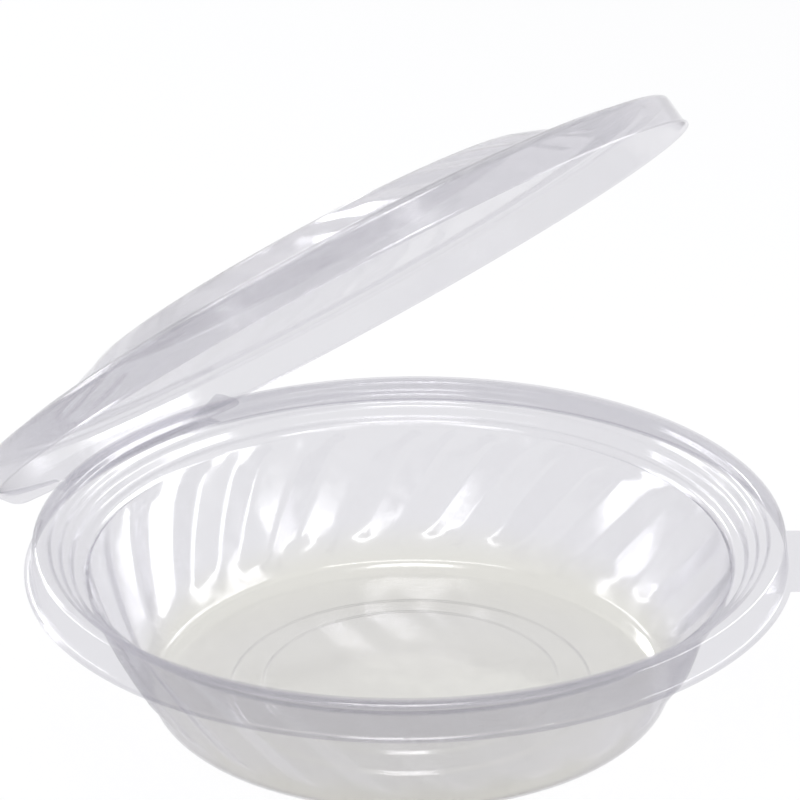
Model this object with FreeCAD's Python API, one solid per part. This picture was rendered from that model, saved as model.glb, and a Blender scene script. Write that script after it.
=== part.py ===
import FreeCAD, Part
import math
import os

# Round hinged clamshell bowl, thermoformed from one clear sheet: a fluted bowl and a domed lid that fold
# together along a straight hinge at the back. Millimetres, +Z up, origin at the centre of the foot's
# underside, hinge at +Y, opening side at -Y. The lid is drawn closed and then turned open about the fold.

doc = FreeCAD.newDocument("clamshell_bowl")
sheet = doc.addObject("Spreadsheet::Sheet", "sizes")
SIZES = [
    ("wall", 0.4, "sheet thickness"),
    ("lip_radius", 92.0, "outer edge of both lips"),
    ("lip_height", 36.2, "height of the bowl's lip above the table"),
    ("lip_width", 1.6, "flat lip outside the bowl's skirt"),
    ("rim_height", 7.6, "rim top above the lip"),
    ("skirt_draft", 0.9, "how far the skirt leans in over its height"),
    ("rim_width", 3.4, "flat top of the bowl's rim"),
    ("step_drop", 2.3, "each step on the inside of the rim"),
    ("step_tread", 1.7, "tread of each inner step"),
    ("step_lean", 0.8, "lean of each inner step"),
    ("ledge_width", 2.2, "flat ledge above the fluted wall"),
    ("wall_lead", 1.6, "plain wall between the ledge and the flutes"),
    ("heel_radius", 64.6, "plain ring below the flutes"),
    ("heel_height", 7.0, "height of that ring"),
    ("wall_bulge", 0.8, "how far the fluted wall bows outwards"),
    ("foot_radius", 58.6, "outer edge of the flat foot ring"),
    ("foot_inner", 44.6, "inner edge of the flat foot ring"),
    ("panel_radius", 36.6, "centre panel of the floor"),
    ("floor_step", 0.9, "rise of each ring of the floor"),
    ("flute_depth", 1.5, "ridge to valley of the bowl's flutes"),
    ("flute_twist", 15.0, "turn of a flute from heel to ledge, degrees"),
    ("flute_count", 24, "flutes round the bowl and round the lid"),
    ("flute_fade", 3.4, "height over which a flute runs out at each end"),
    ("nest_gap", 0.3, "clearance between the closed lid and the bowl"),
    ("skirt_gap", 0.5, "clearance between the two skirts"),
    ("tier_rise", 1.3, "small step up inside the lid's rim"),
    ("gutter_radius", 72.6, "inner edge of the lid's flat gutter"),
    ("shoulder_radius", 56.6, "top of the lid's fluted shoulder"),
    ("dome_height", 16.2, "lid's top above its lip"),
    ("lid_flute_depth", 1.1, "ridge to valley of the lid's flutes"),
    ("lid_flute_twist", 9.0, "turn of a lid flute, degrees"),
    ("lid_flute_fade", 1.1, "height over which a lid flute runs out"),
    ("hinge_offset", 0.6, "fold line beyond the lips"),
    ("fold_length", 48.0, "length of the fold"),
    ("fold_gap", 0.35, "lid's edge short of the fold line"),
    ("fold_neck", 4.0, "how far the bowl's side of the fold runs on past each end"),
    ("bar_length", 82.0, "hinge bar, end to end"),
    ("bar_reach", 9.6, "bar's outer edge beyond the fold"),
    ("bar_corner", 3.0, "corner radius of the bar"),
    ("lid_clearance", 0.8, "clearance between the bar and the lid laid flat open"),
    ("tab_width", 32.0, "opening tab on the bowl"),
    ("tab_reach", 13.0, "tab beyond the lip"),
    ("tab_corner", 5.0, "corner radius of the tab"),
    ("tab_angle", 36.5, "tab's bearing from the front, degrees"),
    ("open_angle", 37.6, "how far the lid stands open"),
]
for row, (name, value, note) in enumerate(SIZES, start=1):
    sheet.set("A%d" % row, str(value))
    sheet.setAlias("A%d" % row, name)
    sheet.set("B%d" % row, note)
doc.recompute()


def size(name):
    return float(sheet.get(name))


WALL = size("wall")
FLUTES = int(size("flute_count"))
AXIS = FreeCAD.Vector(0, 0, 1)
ORIGIN = FreeCAD.Vector(0, 0, 0)


def sheet_section(points, level_start=False, level_end=False):
    """Closed outline of a bent strip of sheet about its middle line, given as (radius, height) points.
    A level end is cut horizontally, so that it meets a fluted stretch face to face."""
    half = WALL / 2
    sides = [[], []]
    last = len(points) - 1
    for i, (r, z) in enumerate(points):
        before = points[max(i - 1, 0)]
        after = points[min(i + 1, last)]
        first = (r - before[0], z - before[1]) if i > 0 else None
        second = (after[0] - r, after[1] - z) if i < last else None
        normals = [(-d[1] / math.hypot(*d), d[0] / math.hypot(*d)) for d in (first, second) if d]
        for side, out in ((half, sides[0]), (-half, sides[1])):
            if len(normals) == 2:
                nr, nz = normals[0][0] + normals[1][0], normals[0][1] + normals[1][1]
                scale = side * 2 / (nr * nr + nz * nz)
                out.append((r + nr * scale, z + nz * scale))
            elif (i == 0 and level_start) or (i == last and level_end):
                out.append((r + side / normals[0][0], z))
            else:
                out.append((r + normals[0][0] * side, z + normals[0][1] * side))
    return sides[0] + sides[1][::-1]


def turned(outline):
    """Solid of revolution about the vertical axis; points on the axis close it."""
    corners = [FreeCAD.Vector(r, 0, z) for r, z in outline]
    face = Part.Face(Part.makePolygon(corners + corners[:1]))
    return face.revolve(ORIGIN, AXIS, 360)


def fluted_ring(radius, height, depth, turn):
    """One section of a fluted wall: flats between ridges and valleys, or a plain circle in as many arcs."""
    pitch = 2 * math.pi / FLUTES
    edges = []

    def at(angle, reach):
        return FreeCAD.Vector(reach * math.cos(angle), reach * math.sin(angle), height)

    for n in range(2 * FLUTES):
        start = math.radians(turn) + n * pitch / 2
        end = start + pitch / 2
        near, far = (radius - depth / 2, radius + depth / 2)[::1 if n % 2 == 0 else -1]
        if depth:
            edges.append(Part.LineSegment(at(start, near), at(end, far)).toShape())
        else:
            edges.append(Part.Arc(at(start, radius), at((start + end) / 2, radius), at(end, radius)).toShape())
    return Part.Wire(edges)


def fluted_wall(rings):
    """Thin fluted wall through (middle radius, half thickness across, height, flute depth, turn) rings."""
    outer = Part.makeLoft([fluted_ring(r + h, z, d, t) for r, h, z, d, t in rings], True, True)
    inner = Part.makeLoft([fluted_ring(r - h, z, d, t) for r, h, z, d, t in rings], True, True)
    return outer.cut(inner)


def fused(pieces):
    shape = pieces[0].fuse(pieces[1:])
    shape = shape.removeSplitter()
    return shape


def rounded_plate(x_low, x_high, y_low, y_high, corner, height):
    """Flat plate of the sheet's thickness about the given height, with rounded corners."""
    plate = Part.makeBox(x_high - x_low, y_high - y_low, WALL, FreeCAD.Vector(x_low, y_low, height - WALL / 2))
    upright = [e for e in plate.Edges if abs(e.Vertexes[0].Z - e.Vertexes[-1].Z) > WALL / 2]
    return plate.makeFillet(corner, upright)


def disc(radius, height, centre_y=0.0):
    return Part.makeCylinder(radius, 4 * WALL, FreeCAD.Vector(0, centre_y, height - 2 * WALL))


# The bowl's middle line, from the lip inwards
LIP_R = size("lip_radius")
LIP_Z = size("lip_height")
RIM_Z = LIP_Z + size("rim_height")
SKIRT_R = LIP_R - size("lip_width")
RIM_OUT = SKIRT_R - size("skirt_draft")
RIM_IN = RIM_OUT - size("rim_width")
STEP_1 = RIM_IN - size("step_lean")
STEP_2 = STEP_1 - size("step_tread") - size("step_lean")
LEDGE_Z = LIP_Z
STEP_Z = RIM_Z - size("step_drop")
STEP_2_Z = STEP_Z - size("step_drop")
STEP_3 = STEP_2 - size("step_tread") - size("step_lean")
LEDGE_IN = STEP_3 - size("ledge_width")
HEEL_R = size("heel_radius")
HEEL_Z = size("heel_height")
WALL_TOP_Z = LEDGE_Z - size("wall_lead")
SLOPE = (LEDGE_IN - HEEL_R) / (LEDGE_Z - HEEL_Z)
WALL_TOP_R = LEDGE_IN - SLOPE * size("wall_lead")
FOOT_Z = WALL / 2
FOOT_R = size("foot_radius")
FLOOR_2 = FOOT_Z + size("floor_step")
FLOOR_3 = FLOOR_2 + size("floor_step")
HEEL_MID = ((HEEL_R + FOOT_R) / 2 + 1.2, HEEL_Z * 0.3)


def bowl_rim():
    return turned(sheet_section([
        (LIP_R, LIP_Z), (SKIRT_R, LIP_Z), (RIM_OUT, RIM_Z), (RIM_IN, RIM_Z),
        (STEP_1, STEP_Z), (STEP_1 - size("step_tread"), STEP_Z),
        (STEP_2, STEP_2_Z), (STEP_2 - size("step_tread"), STEP_2_Z),
        (STEP_3, LEDGE_Z), (LEDGE_IN, LEDGE_Z), (WALL_TOP_R, WALL_TOP_Z),
    ], level_end=True))


def bowl_floor():
    outline = sheet_section([
        (HEEL_R, HEEL_Z), HEEL_MID, (FOOT_R, FOOT_Z), (size("foot_inner"), FOOT_Z),
        (size("foot_inner") - size("floor_step"), FLOOR_2), (size("panel_radius"), FLOOR_2),
        (size("panel_radius") - size("floor_step"), FLOOR_3), (0.0, FLOOR_3),
    ], level_start=True)
    return turned(outline)


def bowl_wall():
    bottom, top, fade = HEEL_Z, WALL_TOP_Z, size("flute_fade")
    heel_lean = (HEEL_R - HEEL_MID[0]) / (HEEL_Z - HEEL_MID[1])
    rings = []
    for z in (bottom, bottom + fade, (bottom + top) / 2, top - fade, top):
        part = (z - bottom) / (top - bottom)
        r = HEEL_R + (WALL_TOP_R - HEEL_R) * part + 4 * size("wall_bulge") * part * (1 - part)
        lean = heel_lean if z == bottom else SLOPE
        across = WALL / 2 * math.hypot(1, lean)
        depth = size("flute_depth") if bottom < z < top else 0.0
        rings.append((r, across, z, depth, -size("flute_twist") * part))
    return fluted_wall(rings)


# Hinge: the fold line lies just outside the lips, at the height where the two flanges meet
FOLD_Y = LIP_R + size("hinge_offset")
LID_LIP_Z = LIP_Z + WALL + size("nest_gap")
FOLD_Z = (LIP_Z + LID_LIP_Z) / 2


def hinge_bar():
    """The bowl's side of the fold: a web from the lip to the fold line, and a bar with free wings."""
    half = size("bar_length") / 2
    leaf_half = size("fold_length") / 2
    web_half = leaf_half + size("fold_neck")
    clear = size("lid_clearance")
    outer = FOLD_Y + size("bar_reach")
    bar = rounded_plate(-half, half, FOLD_Y - WALL, outer, size("bar_corner"), LIP_Z)
    web = Part.makeBox(2 * web_half, FOLD_Y - SKIRT_R + 8 * WALL, WALL,
                       FreeCAD.Vector(-web_half, SKIRT_R - 8 * WALL, LIP_Z - WALL / 2))
    swing = Part.makeBox(2 * (leaf_half + clear), 2 * size("bar_reach"), 4 * WALL,
                         FreeCAD.Vector(-leaf_half - clear, FOLD_Y, LIP_Z - 2 * WALL))
    plate = bar.fuse(web).cut(swing)
    plate = plate.cut(disc(SKIRT_R - WALL / 4, LIP_Z))
    plate = plate.cut(disc(LIP_R + clear, LIP_Z, 2 * FOLD_Y))
    return plate


def opening_tab():
    half = size("tab_width") / 2
    tab = rounded_plate(-half, half, -LIP_R - size("tab_reach"), -LIP_R + 6 * WALL, size("tab_corner"), LIP_Z)
    filler = Part.makeBox(2 * half, 10 * WALL, WALL, FreeCAD.Vector(-half, -LIP_R + WALL, LIP_Z - WALL / 2))
    tab = tab.fuse(filler).cut(disc(SKIRT_R - WALL / 4, LIP_Z))
    tab.rotate(ORIGIN, AXIS, size("tab_angle"))
    return tab


def bowl_shape():
    return fused([bowl_rim(), bowl_wall(), bowl_floor(), hinge_bar(), opening_tab()])


# The lid's middle line, closed
LID_RIM_OUT = RIM_OUT + WALL + size("skirt_gap")
LID_SKIRT_R = LID_RIM_OUT + size("skirt_draft")
LID_RIM_Z = RIM_Z + WALL + size("nest_gap")
LID_RIM_IN = RIM_IN - size("step_lean")
TIER_R = LID_RIM_IN - size("step_lean")
TIER_Z = LID_RIM_Z + size("tier_rise")
GUTTER_R = size("gutter_radius")
TOP_Z = LID_LIP_Z + size("dome_height")
SHOULDER_R = size("shoulder_radius")
LID_SLOPE = (GUTTER_R - SHOULDER_R) / (TOP_Z - TIER_Z)
LEAD = 0.5
SHOULDER_LOW_Z = TIER_Z + LEAD
SHOULDER_TOP_Z = TOP_Z - LEAD


def lid_rim():
    return turned(sheet_section([
        (LIP_R, LID_LIP_Z), (LID_SKIRT_R, LID_LIP_Z), (LID_RIM_OUT, LID_RIM_Z), (LID_RIM_IN, LID_RIM_Z),
        (TIER_R, TIER_Z), (GUTTER_R, TIER_Z), (GUTTER_R - LID_SLOPE * LEAD, SHOULDER_LOW_Z),
    ], level_end=True))


def lid_top():
    return turned(sheet_section([
        (SHOULDER_R + LID_SLOPE * LEAD, SHOULDER_TOP_Z), (SHOULDER_R, TOP_Z), (0.0, TOP_Z),
    ], level_start=True))


def lid_shoulder():
    low, top, fade = SHOULDER_LOW_Z, SHOULDER_TOP_Z, size("lid_flute_fade")
    across = WALL / 2 * math.hypot(1, LID_SLOPE)
    rings = []
    for z in (low, low + fade, top - fade, top):
        part = (z - low) / (top - low)
        r = GUTTER_R - LID_SLOPE * (z - TIER_Z)
        depth = size("lid_flute_depth") * LID_SLOPE if low < z < top else 0.0
        rings.append((r, across, z, depth, -size("lid_flute_twist") * part))
    return fluted_wall(rings)


def lid_leaf():
    web_half = size("fold_length") / 2
    leaf = rounded_plate(-web_half, web_half, LID_SKIRT_R - 8 * WALL, FOLD_Y - size("fold_gap"), WALL, LID_LIP_Z)
    return leaf.cut(disc(LID_SKIRT_R - WALL / 4, LID_LIP_Z))


def lid_shape():
    return fused([lid_rim(), lid_shoulder(), lid_top(), lid_leaf()])


def add_part(label, shape):
    part = doc.addObject("Part::Feature", label)
    part.Label = label
    part.Shape = shape
    return part


bowl = add_part("bowl", bowl_shape())
lid = add_part("lid", lid_shape())
lid.Placement = FreeCAD.Placement(
    ORIGIN, FreeCAD.Rotation(FreeCAD.Vector(1, 0, 0), -size("open_angle")), FreeCAD.Vector(0, FOLD_Y, FOLD_Z))
doc.recompute()

for item in doc.Objects:
    if "Invalid" in item.State or "Error" in item.State:
        raise RuntimeError("failed object: " + item.Label)

os.makedirs("parts", exist_ok=True)
for part in (bowl, lid):
    shape = part.Shape
    if shape.isNull() or not shape.isValid() or len(shape.Solids) != 1:
        raise RuntimeError("bad shape: " + part.Label + " with %d solids" % len(shape.Solids))
    box = shape.BoundBox
    print(part.Label, "volume cm3 %.2f" % (shape.Volume / 1000), "faces", len(shape.Faces),
          "box", [round(v, 2) for v in (box.XMin, box.YMin, box.ZMin, box.XMax, box.YMax, box.ZMax)])
    shape.exportStep("parts/" + part.Label + ".step")
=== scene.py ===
import math

import bmesh
import bpy
from mathutils import Matrix, Vector


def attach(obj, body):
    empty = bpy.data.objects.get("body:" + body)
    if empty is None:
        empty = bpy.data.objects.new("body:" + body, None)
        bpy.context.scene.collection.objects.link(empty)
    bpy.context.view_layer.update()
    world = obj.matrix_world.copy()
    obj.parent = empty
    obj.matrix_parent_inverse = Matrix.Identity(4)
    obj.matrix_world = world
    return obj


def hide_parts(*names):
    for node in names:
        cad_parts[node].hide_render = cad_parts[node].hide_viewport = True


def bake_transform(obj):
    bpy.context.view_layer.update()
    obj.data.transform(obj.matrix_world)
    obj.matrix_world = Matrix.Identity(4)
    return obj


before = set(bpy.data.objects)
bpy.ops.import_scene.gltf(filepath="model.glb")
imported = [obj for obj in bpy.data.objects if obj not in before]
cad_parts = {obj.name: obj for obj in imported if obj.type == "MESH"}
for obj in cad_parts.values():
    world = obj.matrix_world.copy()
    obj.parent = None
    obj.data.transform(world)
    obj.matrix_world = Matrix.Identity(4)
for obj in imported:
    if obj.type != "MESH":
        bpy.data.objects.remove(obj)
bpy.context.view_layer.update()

bl_info = {
    "name": "Clamshell bowl",
    "version": (1, 0, 0),
    "blender": (4, 5, 0),
    "location": "View3D > Sidebar > Clamshell bowl",
    "description": "Dresses the packed clamshell bowl in clear formed sheet and sets its studio",
    "category": "Object",
}

MM = 0.001
COLUMNS = 288
FOLD = Vector((0.0, 92.6, 36.55)) * MM

# The opening tab, and the bar past the ends of the fold, in millimetres
LIP_Z = 36.2
TAB_HALF, TAB_REACH, TAB_CORNER = 16.0, 105.0, 5.0
TAB_BEARING = math.radians(36.5)
BAR_HALF, BAR_INNER, BAR_OUTER, BAR_CORNER = 41.0, 92.2, 102.2, 3.0
NECK_INNER, NECK_OUTER = 24.8, 28.0
LID_CLEAR = 92.8

# Rows of a wall over which its flutes run out at each end
RUN_OUT_ROWS = 2.0

# Where the photograph was taken from
CAMERA_AIM = Vector((0, 0, 0.044))
CAMERA_BACK = Vector((-0.6846, -0.5847, 0.4352)).normalized()
CAMERA_AWAY = 0.7747
CAMERA_ROLL = math.radians(-0.64)


class SheetSizes(bpy.types.PropertyGroup):
    thickness: bpy.props.FloatProperty(
        name="Sheet", description="Thickness of the formed sheet", default=0.4 * MM, unit="LENGTH")
    fold_radius: bpy.props.FloatProperty(
        name="Fold radius", description="Rounding of the folds in the sheet", default=0.7 * MM, unit="LENGTH")
    flutes: bpy.props.IntProperty(name="Flutes", description="Flutes round the bowl and the lid", default=24)
    flute_depth: bpy.props.FloatProperty(
        name="Flute depth", description="Ridge to valley on the bowl", default=1.6 * MM, unit="LENGTH")
    flute_twist: bpy.props.FloatProperty(
        name="Flute twist", description="Turn of a flute from heel to ledge",
        default=math.radians(15), subtype="ANGLE")
    lid_flute_depth: bpy.props.FloatProperty(
        name="Lid flute depth", description="Ridge to valley on the lid's shoulder",
        default=1.7 * MM, unit="LENGTH")
    lid_flute_twist: bpy.props.FloatProperty(
        name="Lid flute twist", description="Turn of a lid flute", default=math.radians(9), subtype="ANGLE")
    lid_open: bpy.props.FloatProperty(
        name="Lid angle", description="How far the lid stands open at rest",
        default=math.radians(37.6), subtype="ANGLE")


class SheetLooks(bpy.types.PropertyGroup):
    clear: bpy.props.FloatVectorProperty(
        name="Sheet, face on", description="What one face of the sheet lets through, looked at squarely",
        subtype="COLOR", size=3, default=(0.880, 0.877, 0.892))
    base_clear: bpy.props.FloatVectorProperty(
        name="Base, face on", description="What one face lets through low down in the bowl",
        subtype="COLOR", size=3, default=(0.872, 0.867, 0.840))
    # Partly painted shade: darker than face on from the longer path through the sheet, and darker still to
    # stand in for the darker room mirrored at the folds
    edge: bpy.props.FloatVectorProperty(
        name="Sheet, edge on", description="What one face lets through, looked at along the sheet",
        subtype="COLOR", size=3, default=(0.85, 0.845, 0.865))
    # Painted light: the lid's edge-on colours are a lighter copy of the bowl's, so that the lid reads lighter
    # edge on
    lid_edge: bpy.props.FloatVectorProperty(
        name="Lid, edge on", description="What one face of the lid lets through, looked at along the sheet",
        subtype="COLOR", size=3, default=(0.95, 0.945, 0.955))
    gloss: bpy.props.FloatVectorProperty(
        name="Gloss, face on", description="Colour of the sheet's mirror, looked at squarely",
        subtype="COLOR", size=3, default=(0.97, 0.97, 0.98))
    # Painted shade: the mirror's colour along the sheet is grey, standing in for a darker room than the white
    # one it mirrors
    gloss_edge_painted_shade: bpy.props.FloatVectorProperty(
        name="Gloss, edge on", description="Colour of the sheet's mirror, looked at along the sheet",
        subtype="COLOR", size=3, default=(0.86, 0.855, 0.875))
    # Painted light: a lighter copy of the mirror's edge-on colour, for the lid
    lid_gloss_edge_painted_lighter: bpy.props.FloatVectorProperty(
        name="Lid's gloss, edge on", description="Colour of the lid's mirror, looked at along the sheet",
        subtype="COLOR", size=3, default=(0.93, 0.925, 0.94))
    floor: bpy.props.FloatVectorProperty(
        name="Floor", description="Colour of the floor", subtype="COLOR", size=3, default=(0.90, 0.90, 0.91))


def sizes():
    return bpy.context.scene.clamshell_sizes


def looks():
    return bpy.context.scene.clamshell_looks


def deselect():
    if bpy.context.object and bpy.context.object.mode != "OBJECT":
        bpy.ops.object.mode_set(mode="OBJECT")
    bpy.ops.object.select_all(action="DESELECT")


def pick(test):
    """Selects the vertices of the mesh in edit mode whose place in millimetres passes the test."""
    mesh = bpy.context.object.data
    shape = bmesh.from_edit_mesh(mesh)
    bpy.ops.mesh.select_mode(type="VERT")
    bpy.ops.mesh.select_all(action="DESELECT")
    found = 0
    for vertex in shape.verts:
        if test(vertex.co / MM):
            vertex.select = True
            found += 1
    shape.select_flush(True)
    bmesh.update_edit_mesh(mesh)
    return found


def on_ring(radius, height, near=0.06):
    return lambda p: abs(math.hypot(p.x, p.y) - radius) < near and abs(p.z - height) < near


def grow_rings(name, rings):
    """Draws a ring of edges out through (radius, height) places in millimetres and closes the middle."""
    deselect()
    radius, height = rings[0]
    bpy.ops.mesh.primitive_circle_add(vertices=COLUMNS, radius=radius * MM, location=(0, 0, 0))
    piece = bpy.context.object
    piece.name = piece.data.name = name
    bpy.ops.object.mode_set(mode="EDIT")
    bpy.ops.mesh.select_all(action="SELECT")
    bpy.ops.transform.translate(value=(0, 0, height * MM))
    for next_radius, next_height in rings[1:]:
        bpy.ops.mesh.extrude_region_move(
            TRANSFORM_OT_translate={"value": (0, 0, (next_height - height) * MM)})
        scale = next_radius / radius
        bpy.ops.transform.resize(value=(scale, scale, 1), center_override=(0, 0, next_height * MM))
        radius, height = next_radius, next_height
    bpy.ops.mesh.merge(type="CENTER")
    return piece


def round_folds(folds, radius, segments=3):
    """Bevels the rings of edges at the given (radius, height) places."""
    for ring_radius, height in folds:
        if pick(on_ring(ring_radius, height)) < COLUMNS:
            raise RuntimeError("no ring at %.2f, %.2f" % (ring_radius, height))
        bpy.ops.mesh.bevel(offset=radius, segments=segments, profile=0.5, affect="EDGES", clamp_overlap=True)


def press_flutes(heights, fades, depth, radii):
    """Pushes every flute's columns in or out, row by row, then leaves the ridges at the pitch lines."""
    per_flute = COLUMNS // sizes().flutes
    pitch = 360.0 / sizes().flutes
    for height, fade, radius in zip(heights, fades, radii):
        if fade <= 0:
            continue
        for column in range(per_flute // 2 + 1):
            share = column / per_flute
            push = depth / MM * fade * (2 * share - 0.5)

            def in_column(p):
                if abs(p.z - height) > 0.05 or abs(math.hypot(p.x, p.y) - radius) > 0.05:
                    return False
                turn = math.degrees(math.atan2(p.y, p.x)) % pitch / pitch
                turn = min(turn, 1 - turn)
                return abs(turn - share) < 0.3 / per_flute

            pick(in_column)
            scale = (radius + push) / radius
            bpy.ops.transform.resize(value=(scale, scale, 1), center_override=(0, 0, height * MM))


def turn_rows(heights, shares, twist, reach):
    """Turns each row of the wall a little further than the row below it."""
    for height, share in zip(heights, shares):
        if share == 0:
            continue
        pick(lambda p: abs(p.z - height) < 0.05 and reach[0] < math.hypot(p.x, p.y) < reach[1])
        bpy.ops.transform.rotate(value=twist * share, orient_axis="Z", center_override=(0, 0, height * MM))


def finish_sheet(piece, angle=40):
    """Gives the sheet its thickness and smooth shading, and leaves the object at the origin."""
    bpy.ops.mesh.select_all(action="SELECT")
    bpy.ops.mesh.remove_doubles(threshold=0.01 * MM)
    bpy.ops.mesh.normals_make_consistent(inside=False)
    bpy.ops.object.mode_set(mode="OBJECT")
    thick = piece.modifiers.new("Sheet", "SOLIDIFY")
    thick.thickness = sizes().thickness
    thick.offset = 0
    thick.use_even_offset = True
    bpy.ops.object.modifier_apply(modifier=thick.name)
    bpy.ops.object.shade_smooth_by_angle(angle=math.radians(angle))


def powered(tree, value, exponent):
    node = tree.nodes.new("ShaderNodeMath")
    node.operation = "POWER"
    node.inputs[1].default_value = exponent
    tree.links.new(value, node.inputs[0])
    return node.outputs[0]


def mapped(tree, value, start, end, low, high, smooth=False):
    """A value that goes from low to high while the one given goes from start to end."""
    node = tree.nodes.new("ShaderNodeMapRange")
    if smooth:
        node.interpolation_type = "SMOOTHSTEP"
    for socket, number in (("From Min", start), ("From Max", end), ("To Min", low), ("To Max", high)):
        node.inputs[socket].default_value = number
    tree.links.new(value, node.inputs["Value"])
    return node.outputs["Result"]


def colour_mix(tree, share):
    node = tree.nodes.new("ShaderNodeMix")
    node.data_type = "RGBA"
    tree.links.new(share, node.inputs["Factor"])
    return node


def noise(tree, place, scale, detail):
    node = tree.nodes.new("ShaderNodeTexNoise")
    node.inputs["Scale"].default_value = scale
    node.inputs["Detail"].default_value = detail
    tree.links.new(place, node.inputs["Vector"])
    return node.outputs["Fac"]


def clear_sheet(name, edge, gloss_edge_painted_shade):
    """Clear formed plastic: see-through face on, greyer and more of a mirror along the sheet, with faint
    ripples from forming and a fine haze of rub marks. The greyness along the sheet is partly the longer
    path through it and partly painted shade, for a darker room mirrored at the folds."""
    material = bpy.data.materials.new(name)
    material.use_nodes = True
    tree = material.node_tree
    tree.nodes.clear()
    new, link = tree.nodes.new, tree.links.new
    see = new("ShaderNodeBsdfTransparent")
    shine = new("ShaderNodeBsdfPrincipled")
    shine.inputs["Metallic"].default_value = 1.0
    shine.inputs["Base Color"].default_value = (*looks().gloss, 1)
    # Painted shade: the mirror turns grey along the sheet, standing in for a darker room mirrored there
    shine.inputs["Specular Tint"].default_value = (*gloss_edge_painted_shade, 1)
    facing = new("ShaderNodeLayerWeight")
    facing.inputs["Blend"].default_value = 0.5
    along = facing.outputs["Facing"]
    place = new("ShaderNodeTexCoord").outputs["Object"]
    apart = new("ShaderNodeSeparateXYZ")
    link(place, apart.inputs[0])

    base = colour_mix(tree, mapped(tree, apart.outputs["Z"], 0.002, 0.014, 0.0, 1.0, smooth=True))
    base.inputs["A"].default_value = (*looks().base_clear, 1)
    base.inputs["B"].default_value = (*looks().clear, 1)
    # Partly painted shade: the see-through colour turns to the edge-on colour where the sheet is seen along,
    # which darkens its folds
    tint = colour_mix(tree, powered(tree, along, 3.0))
    link(base.outputs["Result"], tint.inputs["A"])
    tint.inputs["B"].default_value = (*edge, 1)
    link(tint.outputs["Result"], see.inputs["Color"])

    haze = mapped(tree, noise(tree, place, 260.0, 4.0), 0.35, 0.75, 0.09, 0.24)
    link(haze, shine.inputs["Roughness"])
    bump = new("ShaderNodeBump")
    bump.inputs["Strength"].default_value = 0.5
    bump.inputs["Distance"].default_value = 0.0010
    link(noise(tree, place, 38.0, 1.5), bump.inputs["Height"])
    link(bump.outputs["Normal"], shine.inputs["Normal"])

    mix = new("ShaderNodeMixShader")
    link(mapped(tree, powered(tree, along, 4.0), 0.0, 1.0, 0.06, 0.85), mix.inputs["Fac"])
    link(see.outputs[0], mix.inputs[1])
    link(shine.outputs[0], mix.inputs[2])
    link(mix.outputs[0], new("ShaderNodeOutputMaterial").inputs["Surface"])
    return material


def wear(piece, material):
    piece.data.materials.clear()
    piece.data.materials.append(material)


# Middle line of the bowl's sheet, from the lip inwards, in millimetres
BOWL_RIM = [(92.0, 36.2), (90.4, 36.2), (89.5, 43.8), (86.1, 43.8), (85.3, 41.5), (83.6, 41.5),
            (82.8, 39.2), (81.1, 39.2), (80.3, 36.2), (78.1, 36.2)]
HEEL = (64.6, 7.0)
BOWL_FOOT = [(62.8, 2.1), (58.6, 0.2), (44.6, 0.2), (43.7, 1.1), (36.6, 1.1), (35.7, 2.0), (12.0, 2.0),
             (1.0, 2.0)]
WALL_ROWS, WALL_LEAD, WALL_SLOPE, WALL_BOW = 15, 1.6, 0.4623, 3.2
LID_RIM = [(92.0, 36.9), (91.3, 36.9), (90.4, 44.5), (85.3, 44.5), (84.5, 45.8), (72.6, 45.8)]
LID_TOP = [(56.6, 53.1), (20.0, 53.1), (1.0, 53.1)]
SHOULDER_ROWS, SHOULDER_LEAD = 9, 0.4


def wall_rings():
    """Rows of the fluted wall from under the ledge down to the heel, bowed out a little."""
    ledge = BOWL_RIM[-1]
    top = (ledge[0] - WALL_SLOPE * WALL_LEAD, ledge[1] - WALL_LEAD)
    rows = []
    for n in range(WALL_ROWS):
        share = 1 - n / (WALL_ROWS - 1)
        radius = HEEL[0] + (top[0] - HEEL[0]) * share + WALL_BOW * share * (1 - share)
        rows.append((radius, HEEL[1] + (top[1] - HEEL[1]) * share))
    return rows


def shoulder_rings():
    """Rows of the lid's fluted shoulder, from just above the gutter to just below the flat top."""
    (low_radius, low), (high_radius, high) = LID_RIM[-1], LID_TOP[0]
    slope = (low_radius - high_radius) / (high - low)
    rise = high - low - 2 * SHOULDER_LEAD
    rows = []
    for n in range(SHOULDER_ROWS):
        height = low + SHOULDER_LEAD + rise * n / (SHOULDER_ROWS - 1)
        rows.append((low_radius - slope * (height - low), height))
    return rows


def run_out(n, rows):
    """How deep a flute is in its nth row: full in the middle, running out over the end rows."""
    from_end = min(n, rows - 1 - n)
    return min(1.0, from_end / RUN_OUT_ROWS) ** 0.7 if from_end > 0 else 0.0


def tab_end(count, steps=4):
    """Places (across, out) along the tab's end, corner to corner, for so many columns."""
    corner = []
    for n in range(steps):
        turn = math.radians(90 * n / steps)
        corner.append((TAB_HALF - TAB_CORNER * (1 - math.cos(turn)),
                       TAB_REACH - TAB_CORNER * (1 - math.sin(turn))))
    straight = TAB_HALF - TAB_CORNER
    inner = count - 2 * steps
    run = [(straight * (1 - 2 * n / (inner - 1)), TAB_REACH) for n in range(inner)]
    return corner + run + [(-across, out) for across, out in reversed(corner)]


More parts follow.
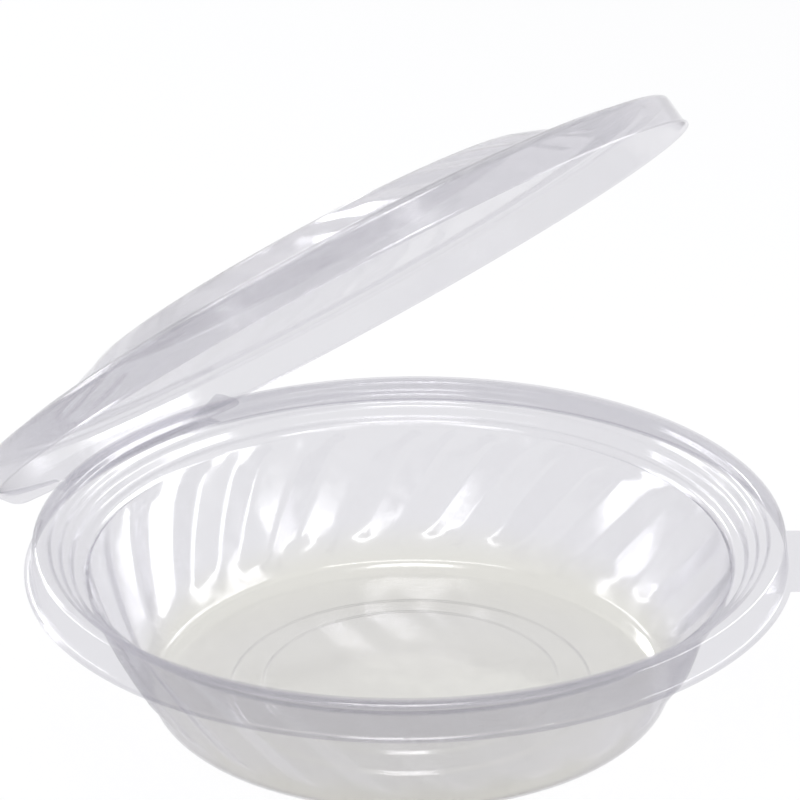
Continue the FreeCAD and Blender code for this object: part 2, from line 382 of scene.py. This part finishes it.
def draw_tab():
    """Draws the opening tab out of the lip, with straight sides, a straight end and round corners."""
    turn = TAB_BEARING - math.pi / 2
    out = Vector((math.cos(turn), math.sin(turn), 0))
    across = Vector((-out.y, out.x, 0))
    columns = pick(lambda p: math.hypot(p.x, p.y) > 91.9 and abs(p.dot(across)) < TAB_HALF + 0.4
                   and p.dot(out) > 0 and abs(p.z - LIP_Z) < 0.1)
    sides = [(TAB_HALF * (1 - 2 * n / (columns - 1)), TAB_REACH - 7.0) for n in range(columns)]
    for places in (sides, tab_end(columns)):
        bpy.ops.mesh.extrude_region_move(TRANSFORM_OT_translate={"value": tuple(out * 6 * MM)})
        mesh = bpy.context.object.data
        shape = bmesh.from_edit_mesh(mesh)
        row = sorted((v for v in shape.verts if v.select), key=lambda v: -v.co.dot(across))
        for vertex, (sideways, reach) in zip(row, places):
            vertex.co.xy = ((across * sideways + out * reach) * MM).xy
        bmesh.update_edit_mesh(mesh)


def draw_fold_side():
    """Draws the bowl's side of the fold out of the lip, and a wing past each end of it."""
    fold = FOLD.y / MM
    pick(lambda p: math.hypot(p.x, p.y) > 91.9 and abs(p.x) < NECK_OUTER + 0.2 and p.y > 0
         and abs(p.z - LIP_Z) < 0.1)
    bpy.ops.mesh.extrude_region_move(TRANSFORM_OT_translate={"value": (0, 2 * MM, 0)})
    bpy.ops.transform.resize(value=(1, 0, 1), center_override=(0, FOLD.y, 0))
    mesh = bpy.context.object.data
    shape = bmesh.from_edit_mesh(mesh)
    for vertex in shape.verts:
        if vertex.select and abs(vertex.co.x) > 25 * MM:
            neck = NECK_OUTER if abs(vertex.co.x) > 27 * MM else NECK_INNER
            vertex.co.x = math.copysign(neck * MM, vertex.co.x)
    bmesh.update_edit_mesh(mesh)
    corner = [BAR_HALF - BAR_CORNER * (1 - math.sin(math.radians(turn))) for turn in (0, 22.5, 45, 67.5, 90)]
    for side in (1, -1):
        pick(lambda p: p.x * side > NECK_INNER - 0.1 and abs(p.y - fold) < 0.05 and abs(p.z - LIP_Z) < 0.1)
        bpy.ops.mesh.extrude_region_move(TRANSFORM_OT_translate={"value": (0, 4 * MM, 0)})
        pick(lambda p: abs(p.x * side - NECK_OUTER) < 0.1 and p.y > fold - 0.1 and abs(p.z - LIP_Z) < 0.1)
        across = NECK_OUTER
        for place in [30.0, 32.5, 35.0] + corner:
            step = (place - across) * side * MM
            bpy.ops.mesh.extrude_region_move(TRANSFORM_OT_translate={"value": (step, 0, 0)})
            across = place
    shape = bmesh.from_edit_mesh(mesh)
    for vertex in shape.verts:
        p = vertex.co / MM
        across = abs(p.x)
        if p.y < fold - 0.1 or across < NECK_INNER - 0.1:
            continue
        in_corner = max(0.0, across - BAR_HALF + BAR_CORNER)
        short = BAR_CORNER - math.sqrt(max(0.0, BAR_CORNER ** 2 - in_corner ** 2))
        if p.y > fold + 1:
            lid_edge = 2 * fold - math.sqrt(LID_CLEAR ** 2 - across ** 2)
            vertex.co.y = min(lid_edge, BAR_OUTER - short) * MM
        elif across > NECK_OUTER + 0.1:
            vertex.co.y = (BAR_INNER + short) * MM
    bmesh.update_edit_mesh(mesh)


class CLAMSHELL_OT_bowl(bpy.types.Operator):
    """Forms the fluted bowl, with its stepped rim, opening tab and side of the fold"""
    bl_idname = "clamshell.bowl"
    bl_label = "Form the bowl"

    def execute(self, context):
        wall = wall_rings()
        piece = grow_rings("bowl_sheet", BOWL_RIM + wall + BOWL_FOOT)
        heights = [z for r, z in wall]
        radii = [r for r, z in wall]
        fades = [run_out(n, WALL_ROWS) for n in range(WALL_ROWS)]
        press_flutes(heights, fades, sizes().flute_depth, radii)
        round_folds([BOWL_FOOT[0], BOWL_FOOT[1]], 1.4 * MM)
        round_folds(BOWL_FOOT[2:6], 0.4 * MM, 2)
        round_folds(BOWL_RIM[1:], sizes().fold_radius)
        low, high = HEEL[1], wall[0][1]
        turn_rows(heights, [(z - low) / (high - low) for z in heights], sizes().flute_twist, (60, 80))
        draw_tab()
        draw_fold_side()
        finish_sheet(piece)
        wear(piece, clear_sheet("clear sheet, bowl", looks().edge, looks().gloss_edge_painted_shade))
        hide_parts("bowl")
        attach(piece, "bowl")
        return {"FINISHED"}


def open_lid():
    """Turns the closed lid open about the fold."""
    turn = Matrix.Translation(FOLD) @ Matrix.Rotation(-sizes().lid_open, 4, "X") @ Matrix.Translation(-FOLD)
    return turn


class CLAMSHELL_OT_lid(bpy.types.Operator):
    """Forms the lid, with its flat gutter, fluted shoulder and leaf of the fold"""
    bl_idname = "clamshell.lid"
    bl_label = "Form the lid"

    def execute(self, context):
        shoulder = shoulder_rings()
        piece = grow_rings("lid_sheet", LID_RIM + shoulder + LID_TOP)
        heights = [z for r, z in shoulder]
        radii = [r for r, z in shoulder]
        fades = [run_out(n, SHOULDER_ROWS) for n in range(SHOULDER_ROWS)]
        press_flutes(heights, fades, sizes().lid_flute_depth, radii)
        round_folds([LID_TOP[0], LID_RIM[-1]], 0.9 * MM)
        round_folds(LID_RIM[1:5], sizes().fold_radius)
        turn_rows(heights, [n / (SHOULDER_ROWS - 1) for n in range(SHOULDER_ROWS)],
                  sizes().lid_flute_twist, (50, 76))
        pick(lambda p: math.hypot(p.x, p.y) > 91.9 and abs(p.x) < 24.2 and p.y > 0 and abs(p.z - 36.9) < 0.1)
        bpy.ops.mesh.extrude_region_move(TRANSFORM_OT_translate={"value": (0, 2 * MM, 0)})
        bpy.ops.transform.resize(value=(1, 0, 1), center_override=(0, FOLD.y - 0.35 * MM, 0))
        finish_sheet(piece)
        piece.data.transform(open_lid())
        # Painted light: the lid wears a lighter copy of the sheet, lighter edge on than the bowl's
        wear(piece, clear_sheet("clear sheet, lid", looks().lid_edge, looks().lid_gloss_edge_painted_lighter))
        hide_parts("lid")
        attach(piece, "lid")
        return {"FINISHED"}


class CLAMSHELL_OT_fold(bpy.types.Operator):
    """Bends the strip of sheet that joins the bowl's and the lid's sides of the fold"""
    bl_idname = "clamshell.fold"
    bl_label = "Bend the fold"

    def execute(self, context):
        deselect()
        start = Vector((0, 92.55, 36.2))
        lid_edge = Vector((0, -0.30, 0.35))
        opening = Matrix.Rotation(-sizes().lid_open, 3, "X")
        end = FOLD / MM + opening @ lid_edge
        bpy.ops.mesh.primitive_grid_add(x_subdivisions=24, y_subdivisions=10, size=1)
        piece = context.object
        piece.name = piece.data.name = "fold_strip"
        bpy.ops.object.mode_set(mode="EDIT")
        bpy.ops.mesh.select_all(action="SELECT")
        bpy.ops.transform.resize(value=(47.6 * MM, 1, 1))
        mesh = piece.data
        shape = bmesh.from_edit_mesh(mesh)
        out = Vector((0, 1, 0))
        back = opening @ Vector((0, 1, 0))
        for vertex in shape.verts:
            t = vertex.co.y + 0.5
            bend = start * (1 - t) ** 3 + (start + out * 0.75) * 3 * t * (1 - t) ** 2
            bend += (end + back * 0.75) * 3 * t * t * (1 - t) + end * t ** 3
            vertex.co = Vector((vertex.co.x, bend.y * MM, bend.z * MM))
        bmesh.update_edit_mesh(mesh)
        finish_sheet(piece, 60)
        wear(piece, clear_sheet("clear sheet, fold", looks().edge, looks().gloss_edge_painted_shade))
        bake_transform(piece)
        return {"FINISHED"}


def soft_box(name, place, aim, side, power):
    lamp = bpy.data.lights.new(name, "AREA")
    lamp.shape = "RECTANGLE"
    lamp.size, lamp.size_y = side
    lamp.energy = power
    lamp.use_shadow = False
    box = bpy.data.objects.new(name, lamp)
    bpy.context.scene.collection.objects.link(box)
    box.location = place
    box.rotation_euler = (Vector(place) - Vector(aim)).to_track_quat("Z", "Y").to_euler()
    return box


def where_seen(tree):
    """1 for what the camera sees straight on, mirrored or through the sheet, 0 for what only lights it."""
    new, link = tree.nodes.new, tree.links.new
    path = new("ShaderNodeLightPath")
    seen = new("ShaderNodeMath")
    seen.operation = "MAXIMUM"
    link(path.outputs["Is Camera Ray"], seen.inputs[0])
    link(path.outputs["Is Glossy Ray"], seen.inputs[1])
    through = new("ShaderNodeMath")
    through.operation = "MAXIMUM"
    link(seen.outputs[0], through.inputs[0])
    link(path.outputs["Is Transmission Ray"], through.inputs[1])
    return through.outputs[0]


class CLAMSHELL_OT_stage(bpy.types.Operator):
    """Lays the pale floor, hangs the lamps and stands the camera where the photograph was taken"""
    bl_idname = "clamshell.stage"
    bl_label = "Set the studio"

    def execute(self, context):
        deselect()
        bpy.ops.mesh.primitive_plane_add(size=12, location=(0, 0, -0.3 * MM))
        floor = context.object
        floor.name = floor.data.name = "floor"
        bpy.ops.object.mode_set(mode="EDIT")
        bpy.ops.mesh.select_all(action="SELECT")
        bpy.ops.mesh.subdivide(number_cuts=6)
        bpy.ops.object.mode_set(mode="OBJECT")
        material = bpy.data.materials.new("pale floor")
        material.use_nodes = True
        tree = material.node_tree
        base = tree.nodes["Principled BSDF"]
        base.inputs["Base Color"].default_value = (*looks().floor, 1)
        base.inputs["Roughness"].default_value = 0.9
        base.inputs["Specular IOR Level"].default_value = 0.1
        white = tree.nodes.new("ShaderNodeEmission")
        white.inputs["Strength"].default_value = 1.0
        share = tree.nodes.new("ShaderNodeMath")
        share.operation = "MULTIPLY"
        share.inputs[1].default_value = 0.72
        tree.links.new(where_seen(tree), share.inputs[0])
        mix = tree.nodes.new("ShaderNodeMixShader")
        tree.links.new(share.outputs[0], mix.inputs["Fac"])
        tree.links.new(base.outputs[0], mix.inputs[1])
        tree.links.new(white.outputs[0], mix.inputs[2])
        tree.links.new(mix.outputs[0], tree.nodes["Material Output"].inputs["Surface"])
        wear(floor, material)

        world = bpy.data.worlds.new("studio")
        context.scene.world = world
        world.cycles.sampling_method = "NONE"
        world.use_nodes = True
        tree = world.node_tree
        room = tree.nodes["Background"]
        room.inputs["Color"].default_value = (0.96, 0.97, 1.0, 1)
        room.inputs["Strength"].default_value = 0.55
        bright = tree.nodes.new("ShaderNodeBackground")
        bright.inputs["Color"].default_value = (1, 1, 1, 1)
        bright.inputs["Strength"].default_value = 1.0
        mix = tree.nodes.new("ShaderNodeMixShader")
        tree.links.new(where_seen(tree), mix.inputs["Fac"])
        tree.links.new(room.outputs[0], mix.inputs[1])
        tree.links.new(bright.outputs[0], mix.inputs[2])
        tree.links.new(mix.outputs[0], tree.nodes["World Output"].inputs["Surface"])

        middle = (0, 0, 0.04)
        soft_box("softbox_left", (-0.38, 1.10, 0.28), middle, (0.80, 0.20), 2.6)
        soft_box("softbox_right", (0.89, -0.74, 0.35), middle, (1.50, 0.26), 6.0)
        soft_box("softbox_front", (-0.68, -0.52, 0.84), middle, (1.80, 0.10), 3.4)
        soft_box("softbox_back", (0.35, 1.05, 0.65), middle, (0.45, 0.22), 2.5)
        soft_box("softbox_top", (-0.15, -0.10, 1.15), middle, (0.40, 0.40), 4.0)

        camera = bpy.data.cameras.new("camera")
        camera.sensor_fit = "HORIZONTAL"
        camera.sensor_width = 36.0
        camera.lens = 145.8
        camera.shift_x = -0.0109
        camera.shift_y = 0.154
        camera.clip_start, camera.clip_end = 0.01, 50
        stand = bpy.data.objects.new("camera", camera)
        context.scene.collection.objects.link(stand)
        back = CAMERA_BACK
        right = Vector((0, 0, 1)).cross(back).normalized()
        up = back.cross(right)
        level = math.cos(CAMERA_ROLL) * right + math.sin(CAMERA_ROLL) * up
        tilted = -math.sin(CAMERA_ROLL) * right + math.cos(CAMERA_ROLL) * up
        place = CAMERA_AIM + back * CAMERA_AWAY
        stand.matrix_world = Matrix((
            (level.x, tilted.x, back.x, place.x),
            (level.y, tilted.y, back.y, place.y),
            (level.z, tilted.z, back.z, place.z),
            (0, 0, 0, 1),
        ))
        context.scene.camera = stand
        context.scene.view_settings.view_transform = "Standard"
        paths = context.scene.cycles
        paths.transparent_max_bounces = 32
        paths.max_bounces = 3
        paths.diffuse_bounces = 1
        paths.glossy_bounces = 2
        return {"FINISHED"}


class CLAMSHELL_PT_panel(bpy.types.Panel):
    """Sizes, looks and pieces of the clamshell bowl"""
    bl_idname = "CLAMSHELL_PT_panel"
    bl_label = "Clamshell bowl"
    bl_space_type = "VIEW_3D"
    bl_region_type = "UI"
    bl_category = "Clamshell bowl"

    def draw(self, context):
        for group in (context.scene.clamshell_sizes, context.scene.clamshell_looks):
            for name in group.__annotations__:
                self.layout.prop(group, name)
        for piece in ("clamshell.bowl", "clamshell.lid", "clamshell.fold", "clamshell.stage"):
            self.layout.operator(piece)


CLASSES = (SheetSizes, SheetLooks, CLAMSHELL_OT_bowl, CLAMSHELL_OT_lid, CLAMSHELL_OT_fold, CLAMSHELL_OT_stage,
           CLAMSHELL_PT_panel)


def register():
    for item in CLASSES:
        bpy.utils.register_class(item)
    bpy.types.Scene.clamshell_sizes = bpy.props.PointerProperty(type=SheetSizes)
    bpy.types.Scene.clamshell_looks = bpy.props.PointerProperty(type=SheetLooks)


def unregister():
    del bpy.types.Scene.clamshell_looks
    del bpy.types.Scene.clamshell_sizes
    for item in reversed(CLASSES):
        bpy.utils.unregister_class(item)


def main():
    register()
    bpy.ops.clamshell.stage()
    bpy.ops.clamshell.bowl()
    bpy.ops.clamshell.lid()
    bpy.ops.clamshell.fold()


if __name__ == "__main__":
    main()
